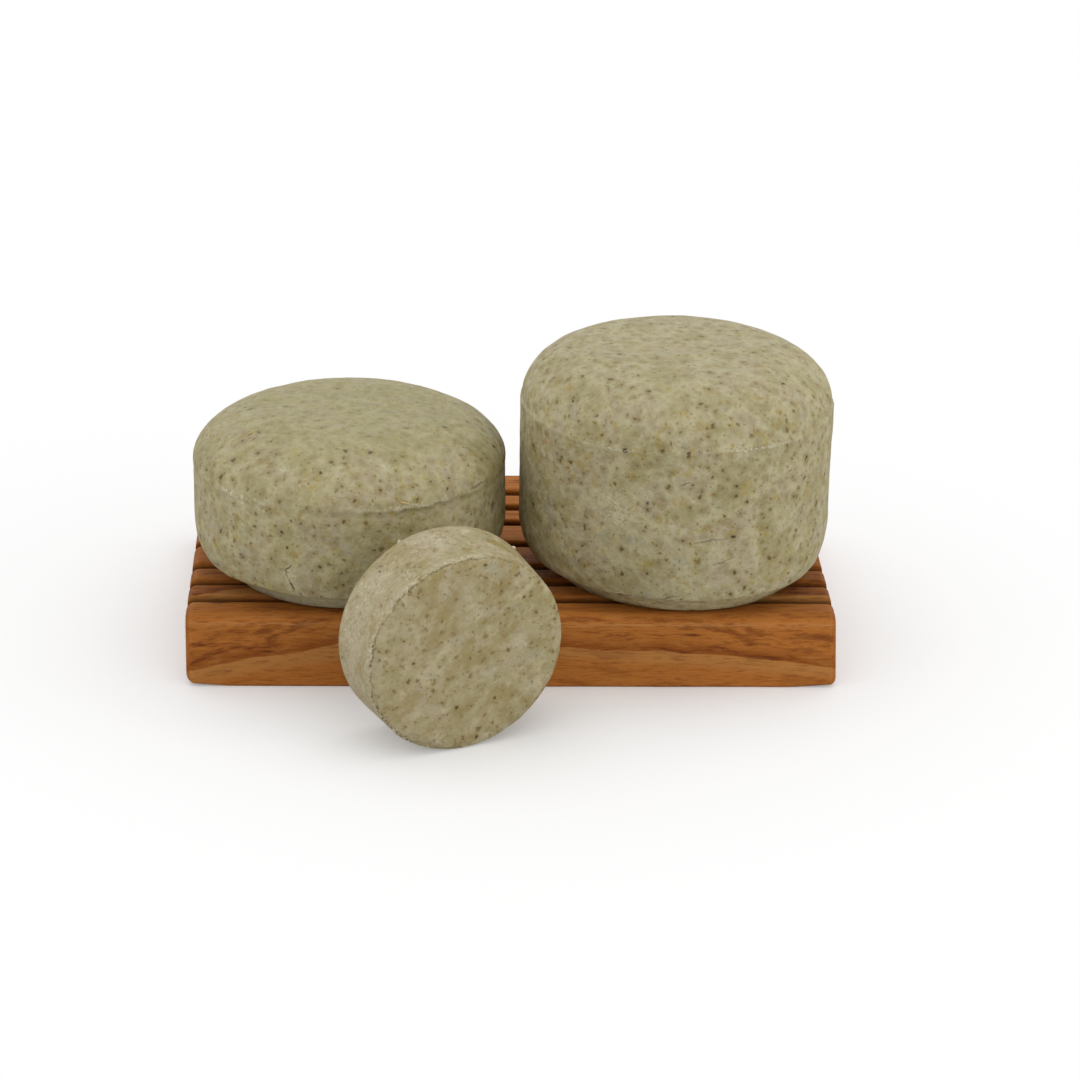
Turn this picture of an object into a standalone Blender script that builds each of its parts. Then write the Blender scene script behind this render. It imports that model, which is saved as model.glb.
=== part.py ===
"""Shaving soap set: a tall and a short puck on a grooved wooden dish, and a sample puck beside it.

Units are metres and +Z is up. The origin is the middle of the dish's underside, +X runs along
the dish's grooves and -Y is the front, where the sample puck stands.

The dish is one board with saw cuts along its top. Each puck is one casting, turned here from
its half outline: a domed top that ends at the mould's seam, a straight wall and a rounded foot.
"""

import math

import bmesh
import bpy

# ---- Dish, one board ----
DISH_LENGTH = 0.142
DISH_THICKNESS = 0.0175
DISH_EDGE_RADIUS = 0.0016
# Rails and ribs between the saw cuts, from the front edge to the back edge
FRONT_RAIL = 0.0070
NARROW_RIB = 0.0059
WIDE_RIB = 0.0097
BACK_RAIL = 0.0113
GROOVE_WIDTH = 0.0036
GROOVE_DEPTH = 0.0080

# ---- Pucks from the large mould ----
PUCK_RADIUS = 0.0350
TALL_HEIGHT = 0.0525
TALL_SEAM_HEIGHT = 0.0399
TALL_SHOULDER_RUN = 0.0180
SHORT_HEIGHT = 0.0376
SHORT_SEAM_HEIGHT = 0.0259
SHORT_SHOULDER_RUN = 0.0215
FOOT_RUN = 0.0119
FOOT_RISE = 0.0136
SEAM_BEAD_RADIUS = 0.0005

# ---- Sample puck from the small mould, which tapers towards its face ----
SAMPLE_SEAM_RADIUS = 0.0226
SAMPLE_THICKNESS = 0.0191
SAMPLE_SEAM_HEIGHT = 0.0181
SAMPLE_FACE_RUN = 0.0040
SAMPLE_FOOT_RUN = 0.0044
SAMPLE_FOOT_RISE = 0.0044
SAMPLE_DRAFT = math.radians(3.0)

# ---- Where the pucks stand ----
SEAT_CLEARANCE = 0.0003
PUCK_GAP = 0.0028
PAIR_MIDDLE_X = 0.0011
FOOT_INSET = 0.0058
SAMPLE_STAND_OFF = 0.0057
SAMPLE_X = -0.0174
SAMPLE_TURN = math.radians(24.0)

# ---- Mesh fineness ----
ARC_STEPS = 7
BEAD_STEPS = 4
TURN_STEPS = 48
EDGE_SEGMENTS = 3
MERGE_DISTANCE = 0.00001
CUT_MARGIN = 0.0050

RIBS = (NARROW_RIB, NARROW_RIB, WIDE_RIB, WIDE_RIB, NARROW_RIB, NARROW_RIB)
DISH_DEPTH = FRONT_RAIL + sum(RIBS) + (len(RIBS) + 1) * GROOVE_WIDTH + BACK_RAIL
DISH_FRONT_Y = -DISH_DEPTH / 2

SOAP_COLOUR = (0.36, 0.33, 0.20)
SAMPLE_SOAP_COLOUR = (0.39, 0.35, 0.23)
WOOD_COLOUR = (0.35, 0.15, 0.04)


def clear_scene():
    """Remove every object that the scene starts with."""
    for item in list(bpy.data.objects):
        bpy.data.objects.remove(item, do_unlink=True)


def new_collection(name):
    """Make a collection and link it to the scene."""
    collection = bpy.data.collections.new(name)
    bpy.context.scene.collection.children.link(collection)
    return collection


def matt_material(name, colour, roughness):
    """Make a Principled material of one colour, with no metal in it."""
    material = bpy.data.materials.new(name)
    material.use_nodes = True
    shader = material.node_tree.nodes["Principled BSDF"]
    shader.inputs["Base Color"].default_value = (*colour, 1.0)
    shader.inputs["Roughness"].default_value = roughness
    shader.inputs["Metallic"].default_value = 0.0
    material.diffuse_color = (*colour, 1.0)
    return material


def add_box(name, size, middle, collection):
    """Add a box with its sizes in the mesh and its middle at its origin."""
    mesh = bpy.data.meshes.new(name)
    shape = bmesh.new()
    bmesh.ops.create_cube(shape, size=1.0)
    bmesh.ops.scale(shape, vec=size, verts=shape.verts)
    shape.to_mesh(mesh)
    shape.free()
    box = bpy.data.objects.new(name, mesh)
    box.location = middle
    collection.objects.link(box)
    return box


def groove_fronts():
    """Return the Y of each groove's front wall, from the front of the dish to the back."""
    fronts = [DISH_FRONT_Y + FRONT_RAIL]
    for rib in RIBS:
        fronts.append(fronts[-1] + GROOVE_WIDTH + rib)
    return fronts


def add_groove_cut(dish, number, front_y, cutters):
    """Cut one groove through the dish's top, open at both of the dish's ends."""
    size = (DISH_LENGTH + 2 * CUT_MARGIN, GROOVE_WIDTH, GROOVE_DEPTH + CUT_MARGIN)
    middle_z = DISH_THICKNESS - GROOVE_DEPTH + size[2] / 2
    cutter = add_box(f"groove_cutter_{number}", size, (0, front_y + GROOVE_WIDTH / 2, middle_z), cutters)
    cutter.hide_render = True
    cutter.display_type = "WIRE"
    cut = dish.modifiers.new(f"groove_{number}", "BOOLEAN")
    cut.operation = "DIFFERENCE"
    cut.solver = "EXACT"
    cut.object = cutter


def add_dish(parts, cutters):
    """Add the board, round its outer edges and saw the grooves into its top."""
    size = (DISH_LENGTH, DISH_DEPTH, DISH_THICKNESS)
    dish = add_box("dish", size, (0, 0, DISH_THICKNESS / 2), parts)
    rounding = dish.modifiers.new("edge_rounding", "BEVEL")
    rounding.width = DISH_EDGE_RADIUS
    rounding.segments = EDGE_SEGMENTS
    for number, front_y in enumerate(groove_fronts(), start=1):
        add_groove_cut(dish, number, front_y, cutters)
    dish.data.materials.append(matt_material("oiled_wood", WOOD_COLOUR, 0.55))
    return dish


def quarter_arc(middle, run, rise, start, end):
    """Return points on an ellipse between two angles from +X, both ends included."""
    angles = [math.radians(start + (end - start) * step / ARC_STEPS) for step in range(ARC_STEPS + 1)]
    return [(middle[0] + run * math.cos(angle), middle[1] + rise * math.sin(angle)) for angle in angles]


def seam_bead(radius, height, bead):
    """Return the points of a thin raised line round the wall, from its top to its bottom."""
    angles = [math.radians(60 - 120 * step / BEAD_STEPS) for step in range(BEAD_STEPS + 1)]
    return [(radius + bead * math.cos(angle), height + bead * math.sin(angle)) for angle in angles]


def puck_outline(height, seam_height, seam_radius, shoulder_run, foot_radius, foot_run, foot_rise, bead):
    """Return a puck's half outline as (radius, height), from the top's middle down to the foot's.

    The shoulder is a quarter ellipse from the top to the seam, the wall runs straight from
    the seam to the foot's rounding, and the foot is a quarter ellipse down to the flat base.
    """
    shoulder = quarter_arc((seam_radius - shoulder_run, seam_height), shoulder_run,
                           height - seam_height, 90, 0)
    if bead:
        shoulder = shoulder[:-1] + seam_bead(seam_radius, seam_height, bead)
    foot = quarter_arc((foot_radius - foot_run, foot_rise), foot_run, foot_rise, 0, -90)
    return [(0.0, height)] + shoulder + foot + [(0.0, 0.0)]


def add_turned(name, outline, material, collection):
    """Add a solid turned about its own Z axis from a half outline."""
    mesh = bpy.data.meshes.new(name)
    points = [(radius, 0.0, height) for radius, height in outline]
    edges = [(index, index + 1) for index in range(len(points) - 1)]
    mesh.from_pydata(points, edges, [])
    turned = bpy.data.objects.new(name, mesh)
    collection.objects.link(turned)
    turning = turned.modifiers.new("turning", "SCREW")
    turning.axis = "Z"
    turning.angle = 2 * math.pi
    turning.steps = TURN_STEPS
    turning.render_steps = TURN_STEPS
    turning.use_merge_vertices = True
    turning.merge_threshold = MERGE_DISTANCE
    turning.use_smooth_shade = True
    turned.data.materials.append(material)
    return turned


def add_large_puck(name, height, seam_height, shoulder_run, side, material, parts):
    """Add a puck from the large mould, seated on the dish on one side of the pair's middle."""
    outline = puck_outline(height, seam_height, PUCK_RADIUS, shoulder_run,
                           PUCK_RADIUS, FOOT_RUN, FOOT_RISE, SEAM_BEAD_RADIUS)
    puck = add_turned(name, outline, material, parts)
    middle_x = PAIR_MIDDLE_X + side * (PUCK_GAP / 2 + PUCK_RADIUS)
    middle_y = DISH_FRONT_Y + FOOT_INSET + PUCK_RADIUS - FOOT_RUN
    puck.location = (middle_x, middle_y, DISH_THICKNESS + SEAT_CLEARANCE)
    return puck


def add_sample_puck(material, parts):
    """Add the sample puck, which stands on its wall in front of the dish, its face to the front.

    Its wall tapers by the draft angle, so the axis dips by that angle when the wall lies on
    the ground, and the middle of its back stands at the height that puts the wall there.
    """
    wall_length = SAMPLE_SEAM_HEIGHT - SAMPLE_FOOT_RISE
    foot_radius = SAMPLE_SEAM_RADIUS + wall_length * math.tan(SAMPLE_DRAFT)
    outline = puck_outline(SAMPLE_THICKNESS, SAMPLE_SEAM_HEIGHT, SAMPLE_SEAM_RADIUS, SAMPLE_FACE_RUN,
                           foot_radius, SAMPLE_FOOT_RUN, SAMPLE_FOOT_RISE, 0.0)
    puck = add_turned("sample_puck", outline, material, parts)
    axis_height = SAMPLE_FOOT_RISE * math.sin(SAMPLE_DRAFT) + foot_radius * math.cos(SAMPLE_DRAFT)
    back_y = DISH_FRONT_Y - SAMPLE_STAND_OFF - foot_radius * math.sin(SAMPLE_TURN)
    puck.location = (SAMPLE_X, back_y, axis_height)
    puck.rotation_euler = (math.pi / 2 + SAMPLE_DRAFT, 0.0, SAMPLE_TURN)
    return puck


def main():
    """Build the set."""
    clear_scene()
    parts = new_collection("shaving_soap_set")
    cutters = new_collection("cutters")
    add_dish(parts, cutters)
    soap = matt_material("soap", SOAP_COLOUR, 0.6)
    add_large_puck("tall_puck", TALL_HEIGHT, TALL_SEAM_HEIGHT, TALL_SHOULDER_RUN, 1, soap, parts)
    add_large_puck("short_puck", SHORT_HEIGHT, SHORT_SEAM_HEIGHT, SHORT_SHOULDER_RUN, -1, soap, parts)
    add_sample_puck(matt_material("sample_soap", SAMPLE_SOAP_COLOUR, 0.65), parts)


main()
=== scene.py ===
"""Looks of a shaving soap set: three speckled soap pucks and the grooved wooden dish under two of them.

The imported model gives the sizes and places. Each puck is a turned surface that is then made
uneven: soft lumps, a broken mould seam, a creased foot, cracks, dents and slivers of straw.
The dish is one section, saw cuts and all, carried along the board and eased at its ends.
Lengths are in metres, +Z is up, and angles round a puck are in degrees from +X where no
other unit is given. Shares run from 0 to 1.
"""

import logging
import math
from dataclasses import dataclass, field, replace
from enum import Enum
from itertools import product

import bpy
import numpy as np
from mathutils import Matrix, Vector


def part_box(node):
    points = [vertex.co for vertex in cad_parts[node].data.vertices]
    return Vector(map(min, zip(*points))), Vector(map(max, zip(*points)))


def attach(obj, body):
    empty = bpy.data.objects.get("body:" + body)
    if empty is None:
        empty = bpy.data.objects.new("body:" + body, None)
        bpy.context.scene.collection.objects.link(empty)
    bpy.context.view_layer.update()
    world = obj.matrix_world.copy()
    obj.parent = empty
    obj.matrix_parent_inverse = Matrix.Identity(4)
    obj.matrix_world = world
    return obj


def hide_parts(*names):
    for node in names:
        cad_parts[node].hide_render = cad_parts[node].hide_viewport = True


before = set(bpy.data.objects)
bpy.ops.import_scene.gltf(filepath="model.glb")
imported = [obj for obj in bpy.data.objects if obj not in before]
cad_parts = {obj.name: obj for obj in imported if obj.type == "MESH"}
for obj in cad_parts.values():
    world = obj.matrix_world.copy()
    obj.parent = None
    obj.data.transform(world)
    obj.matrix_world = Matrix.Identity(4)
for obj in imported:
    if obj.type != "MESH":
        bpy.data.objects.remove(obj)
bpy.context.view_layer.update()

LOG = logging.getLogger("shaving_soap_set")
LATTICE = 32  # cells that a lattice of noise has each way before it repeats
FAR_OFF = 0.01  # what a mark of distance holds where nothing is near
SEED_SHIFT = 0.1  # how far apart the noise of two pucks is read, for each step of the seed
CRACK_SHIFT = 0.02  # how far apart the noise of two cracks is read
QUARTER_POINTS = 60  # points along the quarter of an ellipse
OUTLINE_STEPS = 4000  # steps in which a puck's outline is measured
SLIVER_ROWS, SLIVER_AROUND = 9, 8  # rows of points along a sliver, and points in each
SLIVER_TIP = 0.02  # how much of its length is cut off at each tip
UP = np.array([0, 0, 1])
WHITE = (1.0, 1.0, 1.0)

Triple = tuple[float, float, float]
Colour = Triple
Corner = tuple[float, float]
Marks = dict[str, np.ndarray]
Socket = bpy.types.NodeSocket
Input = Socket | float | Triple


def rgb(*parts: int) -> Colour:
    """Turn red, green and blue as a screen shows them, 0 to 255, into linear ones by the sRGB curve."""
    shares = (part / 255 for part in parts)
    return tuple(s / 12.92 if s <= 0.04045 else ((s + 0.055) / 1.055) ** 2.4 for s in shares)


def smooth_step(value: np.ndarray, low: float, high: float) -> np.ndarray:
    """Rise smoothly from 0 at low to 1 at high: 3 t squared minus 2 t cubed, t being the way between."""
    share = np.clip((value - low) / (high - low), 0.0, 1.0)
    return share * share * (3 - 2 * share)


def bell(value: np.ndarray, width: float) -> np.ndarray:
    """Return a bell curve, 1 at 0 and about a third at the width."""
    return np.exp(-(value / width) ** 2)


def turned_from(angle: np.ndarray, facing: float) -> np.ndarray:
    """Return how far angles in radians lie from a direction in degrees, the short way, in degrees."""
    return (np.degrees(angle) - facing + 180) % 360 - 180


def outward(angle: np.ndarray) -> np.ndarray:
    """Return the way out from the upright axis at angles in radians: cosine, sine and 0."""
    return np.stack([np.cos(angle), np.sin(angle), 0 * angle], axis=-1)


def distance_along(corners: np.ndarray) -> np.ndarray:
    """Return how far each corner of an outline lies from its first one, along the outline."""
    return np.concatenate([[0], np.cumsum(np.hypot(*np.diff(corners, axis=0).T))])


def lattice_noise(points: np.ndarray, cell: float, seed: int) -> np.ndarray:
    """Read a smooth random field: random values on a cubic lattice, mixed by smoothed distance.

    Args:
        points: positions, in an array whose last axis is X, Y and Z.
        cell: the lattice's spacing.
        seed: the seed of its values.

    Returns:
        Values from -1 to 1, one for each position.
    """
    lattice = np.random.default_rng(seed).uniform(-1, 1, (LATTICE,) * 3)
    scaled = points / cell
    corner = np.floor(scaled).astype(int)
    share = smooth_step(scaled - corner, 0, 1)
    total = np.zeros(points.shape[:-1])
    for step in product((0, 1), repeat=3):
        weight = np.prod(np.where(step, share, 1 - share), axis=-1)
        index = (corner + np.array(step)) % LATTICE
        total += weight * lattice[index[..., 0], index[..., 1], index[..., 2]]
    return total


def layered_noise(points: np.ndarray, cell: float, layers: int, seed: int) -> np.ndarray:
    """Add up lattice noise, each layer half the cell and half the height of the one before.

    Args:
        points: positions, in an array whose last axis is X, Y and Z.
        cell: the first layer's spacing.
        layers: how many layers to add.
        seed: the first layer's seed.

    Returns:
        Values from about -1 to 1, one for each position.
    """
    heights = [0.5 ** layer for layer in range(layers)]
    total = sum(height * lattice_noise(points, cell * height, seed + layer)
                for layer, height in enumerate(heights))
    return total / sum(heights)


def link_object(name: str, data: bpy.types.ID) -> bpy.types.Object:
    """Put a mesh, light or camera into the scene.

    Args:
        name: the object's name.
        data: what it shows.

    Returns:
        The object.
    """
    placed = bpy.data.objects.new(name, data)
    bpy.context.scene.collection.objects.link(placed)
    return placed


def link_mesh(name: str, points: np.ndarray, faces: list[np.ndarray], marks: Marks) -> bpy.types.Object:
    """Make a mesh object at the origin, with a value at each point for every mark.

    Faces of up to four corners are shaded smooth, and larger ones, which close a piece, flat.

    Args:
        name: the object's name.
        points: the vertices, one row each.
        faces: groups of faces, each an array with one row of vertex numbers for a face,
            counter-clockwise from outside.
        marks: the value of each named mark at every vertex.

    Returns:
        The object, linked to the scene.
    """
    mesh = bpy.data.meshes.new(name)
    corners = np.concatenate([group.ravel() for group in faces]).astype(np.int32)
    sizes = np.concatenate([np.full(len(group), group.shape[1]) for group in faces])
    mesh.vertices.add(len(points))
    mesh.vertices.foreach_set("co", points.astype(np.float32).ravel())
    mesh.loops.add(len(corners))
    mesh.loops.foreach_set("vertex_index", corners)
    mesh.polygons.add(len(sizes))
    mesh.polygons.foreach_set("loop_start", (np.cumsum(sizes) - sizes).astype(np.int32))
    mesh.update(calc_edges=True)
    mesh.polygons.foreach_set("use_smooth", sizes <= 4)
    for mark, values in marks.items():
        attribute = mesh.attributes.new(mark, "FLOAT", "POINT")
        attribute.data.foreach_set("value", values.astype(np.float32).ravel())
    return link_object(name, mesh)


def tube_faces(rows: int, around: int) -> np.ndarray:
    """Number the quads between rows of points, where each row closes on itself.

    Args:
        rows: how many rows there are.
        around: how many points each row has.

    Returns:
        The quads. They face out where rows go down and each row runs counter-clockwise.
    """
    row, column = np.meshgrid(np.arange(rows - 1), np.arange(around), indexing="ij")
    after = (column + 1) % around
    corners = (row * around + column, (row + 1) * around + column,
               (row + 1) * around + after, row * around + after)
    return np.stack(corners, axis=-1).reshape(-1, 4)


class NodeGraph:
    """The nodes of a material or sky, with one short call for each kind that the looks use."""

    def __init__(self, holder: bpy.types.Material | bpy.types.World, shader: str) -> None:
        """Start on the nodes that a new material or world has.

        Args:
            holder: the material or world.
            shader: the name of the node that shades it.
        """
        holder.use_nodes = True
        self.holder = holder
        self.tree = holder.node_tree
        self.shader = self.tree.nodes[shader]

    @classmethod
    def for_material(cls, name: str) -> "NodeGraph":
        """Start a new material with its Principled shader."""
        return cls(bpy.data.materials.new(name), "Principled BSDF")

    def feed(self, node: bpy.types.Node, inputs: dict[int | str, Input]) -> None:
        """Link inputs of a node to sockets, or store values in them.

        Args:
            node: the node that is fed.
            inputs: what each input gets.
        """
        for key, given in inputs.items():
            target = node.inputs[key]
            if isinstance(given, bpy.types.NodeSocket):
                self.tree.links.new(given, target)
            else:
                target.default_value = (*given, 1.0) if target.type == "RGBA" else given

    def add(self, kind: str, inputs: dict[int | str, Input], **settings: object) -> bpy.types.Node:
        """Add a node, set it up and feed its inputs.

        Args:
            kind: the node's type, less "ShaderNode".
            inputs: what each input gets, a socket to link or a value to hold.
            **settings: the node's own properties.

        Returns:
            The new node.
        """
        node = self.tree.nodes.new(f"ShaderNode{kind}")
        for key, setting in settings.items():
            setattr(node, key, setting)
        self.feed(node, inputs)
        return node

    def place(self, stretch: Triple = (1, 1, 1), shift: float = 0.0, turn: Triple = (0, 0, 0)) -> Socket:
        """Return the piece's own coordinates, turned, then each axis stretched, then shifted.

        Args:
            stretch: what each axis is multiplied by.
            shift: how far all axes are moved.
            turn: how far they are turned about X, Y and Z, in radians.

        Returns:
            The coordinates.
        """
        coordinates = self.add("TexCoord", {}).outputs["Object"]
        if any(turn):
            coordinates = self.add("Mapping", {"Vector": coordinates, "Rotation": turn}).outputs[0]
        moved = {"Vector": coordinates, "Scale": stretch, "Location": (shift,) * 3}
        return self.add("Mapping", moved).outputs[0]

    def mark(self, name: str) -> Socket:
        """Return the value of a mark that the mesh holds."""
        return self.add("Attribute", {}, attribute_name=name).outputs["Fac"]

    def noise(self, vector: Socket, cell: float, detail: float = 2.0, roughness: float = 0.5) -> Socket:
        """Return noise of about 0.25 to 0.75, whose blobs are about one cell apart."""
        settings = {"Vector": vector, "Scale": 1 / cell, "Detail": detail, "Roughness": roughness}
        return self.add("TexNoise", settings).outputs["Fac"]

    def warp(self, vector: Socket, cell: float, reach: float, detail: float = 1.0) -> Socket:
        """Push coordinates about: the vector plus reach times a random colour less a half.

        Args:
            vector: the coordinates.
            cell: the distance over which the push changes.
            reach: how strong the push is.
            detail: how many finer pushes are added.

        Returns:
            The pushed coordinates.
        """
        pushed = self.add("TexNoise", {"Vector": vector, "Scale": 1 / cell, "Detail": detail})
        centred = self.add("VectorMath", {0: pushed.outputs["Color"], 1: (0.5,) * 3}, operation="SUBTRACT")
        scaled = self.add("VectorMath", {0: centred.outputs[0], "Scale": reach}, operation="SCALE")
        return self.add("VectorMath", {0: vector, 1: scaled.outputs[0]}, operation="ADD").outputs[0]

    def math(self, operation: str, first: Input, second: Input = 0.0, third: Input = 0.0) -> Socket:
        """Return one sum, difference or other step of arithmetic."""
        return self.add("Math", {0: first, 1: second, 2: third}, operation=operation).outputs[0]

    def times(self, first: Input, second: Input) -> Socket:
        """Return one value times another."""
        return self.math("MULTIPLY", first, second)

    def times_plus(self, first: Input, second: Input, third: Input) -> Socket:
        """Return one value times another, plus a third."""
        return self.math("MULTIPLY_ADD", first, second, third)

    def step(self, value: Socket, low: float, high: float, top: float = 1.0) -> Socket:
        """Return a smooth step from 0 at low to top at high, which may lie below low."""
        stops = {"Value": value, "From Min": low, "From Max": high, "To Min": 0.0, "To Max": top}
        return self.add("MapRange", stops, interpolation_type="SMOOTHSTEP").outputs["Result"]

    def spread(self, value: Socket, low: float, high: float) -> Socket:
        """Return noise stretched over a range, from low at 0.3 to high at 0.7."""
        stops = {"Value": value, "From Min": 0.3, "From Max": 0.7, "To Min": low, "To Max": high}
        return self.add("MapRange", stops).outputs["Result"]

    def mix(self, share: Input, first: Input, second: Input) -> Socket:
        """Return a colour between two, at a share from the first to the second."""
        return self.add("Mix", {0: share, 6: first, 7: second}, data_type="RGBA").outputs[2]

    def coats(self, colour: Input, *coats: tuple[Input, Colour]) -> Socket:
        """Lay coats over a colour in turn, each mixed in by its own share.

        Args:
            colour: what lies under them.
            *coats: each coat's share and colour.

        Returns:
            The colour on top.
        """
        for share, coat in coats:
            colour = self.mix(share, colour, coat)
        return colour

    def ramp(self, value: Socket, stops: list[tuple[float, Colour]]) -> Socket:
        """Return the colour at a value on a ramp of coloured stops.

        Args:
            value: where to read the ramp.
            stops: each stop's position and colour, in order.

        Returns:
            The colour.
        """
        node = self.add("ValToRGB", {"Fac": value})
        elements = node.color_ramp.elements
        while len(elements) < len(stops):
            elements.new(1.0)
        for element, (position, colour) in zip(elements, stops):
            element.position = position
            element.color = (*colour, 1.0)
        return node.outputs["Color"]

    def finish(self, colour: Socket, roughness: Input, height: Socket, gloss: float) -> bpy.types.Material:
        """Feed the shader and return the material.

        Args:
            colour: the surface's colour.
            roughness: its roughness.
            height: how far its fine relief stands up.
            gloss: how strongly it mirrors, where 0.5 is a plain varnish.

        Returns:
            The material.
        """
        bump = self.add("Bump", {"Height": height, "Distance": 1.0, "Strength": 1.0}).outputs["Normal"]
        self.feed(self.shader, {"Base Color": colour, "Roughness": roughness, "Normal": bump,
                                "Specular IOR Level": gloss})
        return self.holder


@dataclass(frozen=True)
class FleckLayer:
    """One size of plant fleck, scattered through the soap as balls that the surface cuts open."""

    cell: float  # the average distance between flecks
    largest: float  # the greatest radius of a fleck
    edge: float  # how far a fleck's edge fades out
    halo: float  # how far its stain reaches beyond it
    kept: float  # the share of the cells that hold a fleck
    ragged: float  # the size of the notches in its outline
    light: Colour  # the colour of the palest flecks, and of the stains
    dark: Colour  # the colour of the darkest flecks
    cover: float  # how much of the soap's colour a fleck hides
    stain: float = 0.30  # how much of it the stain round a fleck hides
    stretch: Triple = (1, 1, 1)  # what each axis is multiplied by before the scatter
    torn: float = 1.5  # how deep the notches are, as a multiple of their size
    rarity: float = 3.0  # how rare the larger flecks are, where 1 makes every size as common
    least: float = 0.33  # the smallest radius, as a share of the largest

    def paint(self, graph: NodeGraph, ground: Socket, shift: float, crowding: float = 1.0,
              size: float = 1.0) -> Socket:
        """Lay the flecks over a colour.

        Each cell's random colour gives its fleck a radius, a tint and whether it is there.
        The radius is the least share of the largest, plus the rest times chance to the rarity.

        Args:
            graph: the material's nodes.
            ground: the colour under the flecks.
            shift: how far the scatter is moved, so that no two scatters are alike.
            crowding: what the share of cells with a fleck is multiplied by.
            size: what the flecks' radii are multiplied by.

        Returns:
            The painted colour.
        """
        place = graph.place(self.stretch, shift)
        place = graph.warp(place, self.ragged, self.torn * self.ragged, detail=3.0)
        scatter = graph.add("TexVoronoi", {"Vector": place, "Scale": 1 / self.cell}).outputs
        chance = graph.add("SeparateColor", {0: scatter["Color"]}).outputs
        share = graph.times_plus(graph.math("POWER", chance[0], self.rarity), 1 - self.least, self.least)
        beyond = graph.times_plus(share, -size * self.largest / self.cell, scatter["Distance"])
        there = graph.times(graph.math("LESS_THAN", chance[1], self.kept * crowding), self.cover)
        edge, halo = self.edge / self.cell, self.halo / self.cell
        inside = graph.times(graph.step(beyond, edge, -edge), there)
        stain = graph.times(graph.step(beyond, halo, 0.0, self.stain), there)
        tint = graph.mix(chance[2], self.dark, self.light)
        return graph.coats(ground, (stain, self.light), (inside, tint))


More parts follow.
